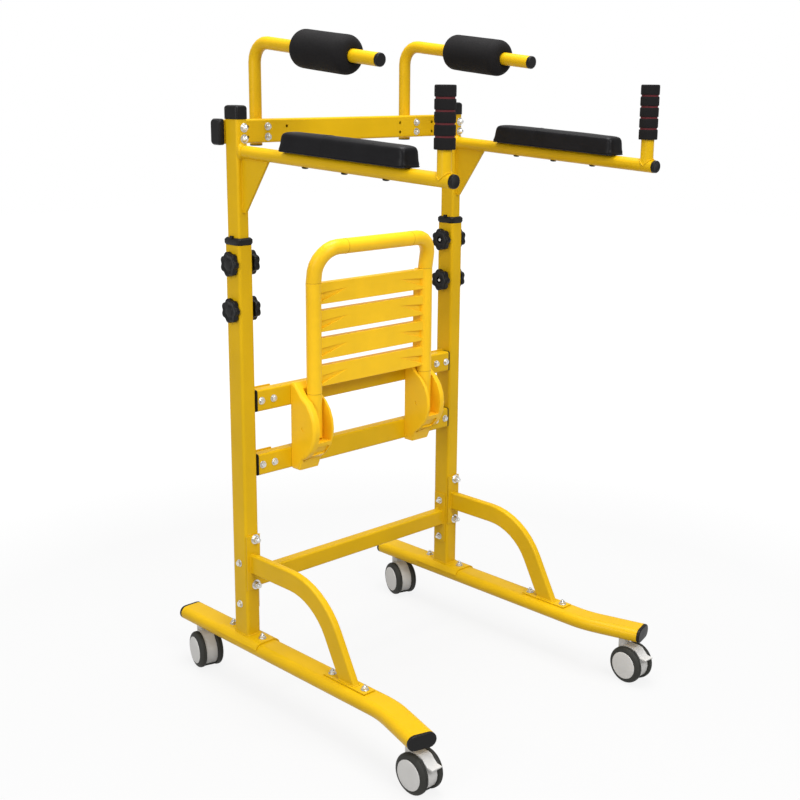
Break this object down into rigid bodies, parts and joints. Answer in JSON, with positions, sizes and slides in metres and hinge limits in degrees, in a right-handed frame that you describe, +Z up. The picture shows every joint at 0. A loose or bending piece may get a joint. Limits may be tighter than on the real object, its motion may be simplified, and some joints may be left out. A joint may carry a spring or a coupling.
{
  "type": "gait trainer",
  "caption": "Standing gait trainer on twin-wheel casters with a telescoping upper frame, forearm pads, hand grips, underarm rollers and a fold-down slatted seat.",
  "frame": {"origin": "on the floor, at the middle of the object's footprint", "axes": "+Z is up, +X is the user's left, and the user faces -Y, the way the arms and the splayed legs point"},
  "size_m": [0.7308, 0.8006, 1.356],
  "materials": {
    "yellow_paint": "gloss powder coat",
    "yellow_plastic": "satin moulded",
    "black_plastic": "satin moulded",
    "black_foam": "matte foam",
    "black_vinyl": "soft satin vinyl",
    "tyre_rubber": "matte",
    "grey_plastic": "satin moulded"
  },
  "bodies": {
    "base": {"base_leg_left": "yellow_paint", "leg_plug_front_left": "black_plastic", "leg_plug_rear_left": "black_plastic", "lower_upright_left": "yellow_paint", "brace_left": "yellow_paint", "seat_bracket_left": "yellow_plastic", "height_collar_left": "black_plastic", "base_leg_right": "yellow_paint", "leg_plug_front_right": "black_plastic", "leg_plug_rear_right": "black_plastic", "lower_upright_right": "yellow_paint", "brace_right": "yellow_paint", "seat_bracket_right": "yellow_plastic", "height_collar_right": "black_plastic", "lower_cross_bar": "yellow_paint", "upper_rail": "yellow_paint", "lower_rail": "yellow_paint"},
    "upper_frame": {"upper_column_left": "yellow_paint", "column_cap_left": "black_plastic", "top_bar_cap_left": "black_plastic", "shoulder_tube_left": "yellow_paint", "shoulder_plug_left": "black_plastic", "roller_left": "black_foam", "arm_pad_left": "black_vinyl", "grip_left": "black_foam", "upper_column_right": "yellow_paint", "column_cap_right": "black_plastic", "top_bar_cap_right": "black_plastic", "shoulder_tube_right": "yellow_paint", "shoulder_plug_right": "black_plastic", "roller_right": "black_foam", "arm_pad_right": "black_vinyl", "grip_right": "black_foam", "top_bar": "yellow_paint"},
    "seat": {"seat_bow": "yellow_plastic", "seat_panel": "yellow_plastic", "seat_hinge_arm_left": "yellow_plastic", "seat_hinge_arm_right": "yellow_plastic"},
    "caster_front_left": {"caster_housing_front_left": "grey_plastic"},
    "wheel_outer_front_left": {"wheel_outer_front_left": "tyre_rubber"},
    "wheel_inner_front_left": {"wheel_inner_front_left": "tyre_rubber"},
    "brake_pedal_front_left": {"brake_pedal_front_left": "grey_plastic"},
    "caster_rear_left": {"caster_housing_rear_left": "grey_plastic"},
    "wheel_outer_rear_left": {"wheel_outer_rear_left": "tyre_rubber"},
    "wheel_inner_rear_left": {"wheel_inner_rear_left": "tyre_rubber"},
    "knob_outer_upper_left": {"knob_outer_upper_left": "black_plastic"},
    "knob_inner_upper_left": {"knob_inner_upper_left": "black_plastic"},
    "knob_outer_lower_left": {"knob_outer_lower_left": "black_plastic"},
    "knob_inner_lower_left": {"knob_inner_lower_left": "black_plastic"},
    "caster_front_right": {"caster_housing_front_right": "grey_plastic"},
    "wheel_outer_front_right": {"wheel_outer_front_right": "tyre_rubber"},
    "wheel_inner_front_right": {"wheel_inner_front_right": "tyre_rubber"},
    "brake_pedal_front_right": {"brake_pedal_front_right": "grey_plastic"},
    "caster_rear_right": {"caster_housing_rear_right": "grey_plastic"},
    "wheel_outer_rear_right": {"wheel_outer_rear_right": "tyre_rubber"},
    "wheel_inner_rear_right": {"wheel_inner_rear_right": "tyre_rubber"},
    "knob_outer_upper_right": {"knob_outer_upper_right": "black_plastic"},
    "knob_inner_upper_right": {"knob_inner_upper_right": "black_plastic"},
    "knob_outer_lower_right": {"knob_outer_lower_right": "black_plastic"},
    "knob_inner_lower_right": {"knob_inner_lower_right": "black_plastic"}
  },
  "joints": [
    {"name": "height", "type": "slide", "parent": "base", "child": "upper_frame", "axis": [0, 0, 1], "range_m": [-0.045, 0.2]},
    {"name": "seat_fold", "type": "hinge", "parent": "base", "child": "seat", "pos_m": [0, 0.12983, 0.5625], "axis": [1, 0, 0], "range_deg": [0, 90]},
    {"name": "swivel_front_left", "type": "hinge", "parent": "base", "child": "caster_front_left", "pos_m": [0.32512, -0.33087, 0.0938], "axis": [0, 0, 1], "continuous": true},
    {"name": "roll_outer_front_left", "type": "hinge", "parent": "caster_front_left", "child": "wheel_outer_front_left", "pos_m": [0.3242, -0.35285, 0.04], "axis": [0.9991, -0.0419, 0], "continuous": true},
    {"name": "roll_inner_front_left", "type": "hinge", "parent": "caster_front_left", "child": "wheel_inner_front_left", "pos_m": [0.3242, -0.35285, 0.04], "axis": [0.9991, -0.0419, 0], "continuous": true},
    {"name": "brake_left", "type": "hinge", "parent": "caster_front_left", "child": "brake_pedal_front_left", "pos_m": [0.32378, -0.36284, 0.0765], "axis": [0.9991, -0.0419, 0], "range_deg": [0, 5]},
    {"name": "swivel_rear_left", "type": "hinge", "parent": "base", "child": "caster_rear_left", "pos_m": [0.3, 0.35733, 0.0938], "axis": [0, 0, 1], "continuous": true},
    {"name": "roll_outer_rear_left", "type": "hinge", "parent": "caster_rear_left", "child": "wheel_outer_rear_left", "pos_m": [0.29357, 0.33629, 0.04], "axis": [0.9563, -0.2924, 0], "continuous": true},
    {"name": "roll_inner_rear_left", "type": "hinge", "parent": "caster_rear_left", "child": "wheel_inner_rear_left", "pos_m": [0.29357, 0.33629, 0.04], "axis": [0.9563, -0.2924, 0], "continuous": true},
    {"name": "turn_outer_upper_left", "type": "hinge", "parent": "base", "child": "knob_outer_upper_left", "pos_m": [0.317, 0.18983, 0.9109], "axis": [1, 0, 0], "continuous": true},
    {"name": "turn_inner_upper_left", "type": "hinge", "parent": "base", "child": "knob_inner_upper_left", "pos_m": [0.283, 0.18983, 0.9109], "axis": [-1, 0, 0], "continuous": true},
    {"name": "turn_outer_lower_left", "type": "hinge", "parent": "base", "child": "knob_outer_lower_left", "pos_m": [0.317, 0.18983, 0.8186], "axis": [1, 0, 0], "continuous": true},
    {"name": "turn_inner_lower_left", "type": "hinge", "parent": "base", "child": "knob_inner_lower_left", "pos_m": [0.283, 0.18983, 0.8186], "axis": [-1, 0, 0], "continuous": true},
    {"name": "swivel_front_right", "type": "hinge", "parent": "base", "child": "caster_front_right", "pos_m": [-0.32512, -0.33087, 0.0938], "axis": [0, 0, 1], "continuous": true},
    {"name": "roll_outer_front_right", "type": "hinge", "parent": "caster_front_right", "child": "wheel_outer_front_right", "pos_m": [-0.32558, -0.35287, 0.04], "axis": [0.9998, -0.0209, 0], "continuous": true},
    {"name": "roll_inner_front_right", "type": "hinge", "parent": "caster_front_right", "child": "wheel_inner_front_right", "pos_m": [-0.32558, -0.35287, 0.04], "axis": [0.9998, -0.0209, 0], "continuous": true},
    {"name": "brake_right", "type": "hinge", "parent": "caster_front_right", "child": "brake_pedal_front_right", "pos_m": [-0.32579, -0.36286, 0.0765], "axis": [0.9998, -0.0209, 0], "range_deg": [0, 5]},
    {"name": "swivel_rear_right", "type": "hinge", "parent": "base", "child": "caster_rear_right", "pos_m": [-0.3, 0.35733, 0.0938], "axis": [0, 0, 1], "continuous": true},
    {"name": "roll_outer_rear_right", "type": "hinge", "parent": "caster_rear_right", "child": "wheel_outer_rear_right", "pos_m": [-0.30532, 0.33598, 0.04], "axis": [0.9703, -0.2419, 0], "continuous": true},
    {"name": "roll_inner_rear_right", "type": "hinge", "parent": "caster_rear_right", "child": "wheel_inner_rear_right", "pos_m": [-0.30532, 0.33598, 0.04], "axis": [0.9703, -0.2419, 0], "continuous": true},
    {"name": "turn_outer_upper_right", "type": "hinge", "parent": "base", "child": "knob_outer_upper_right", "pos_m": [-0.317, 0.18983, 0.9109], "axis": [-1, 0, 0], "continuous": true},
    {"name": "turn_inner_upper_right", "type": "hinge", "parent": "base", "child": "knob_inner_upper_right", "pos_m": [-0.283, 0.18983, 0.9109], "axis": [1, 0, 0], "continuous": true},
    {"name": "turn_outer_lower_right", "type": "hinge", "parent": "base", "child": "knob_outer_lower_right", "pos_m": [-0.317, 0.18983, 0.8186], "axis": [-1, 0, 0], "continuous": true},
    {"name": "turn_inner_lower_right", "type": "hinge", "parent": "base", "child": "knob_inner_lower_right", "pos_m": [-0.283, 0.18983, 0.8186], "axis": [1, 0, 0], "continuous": true}
  ]
}
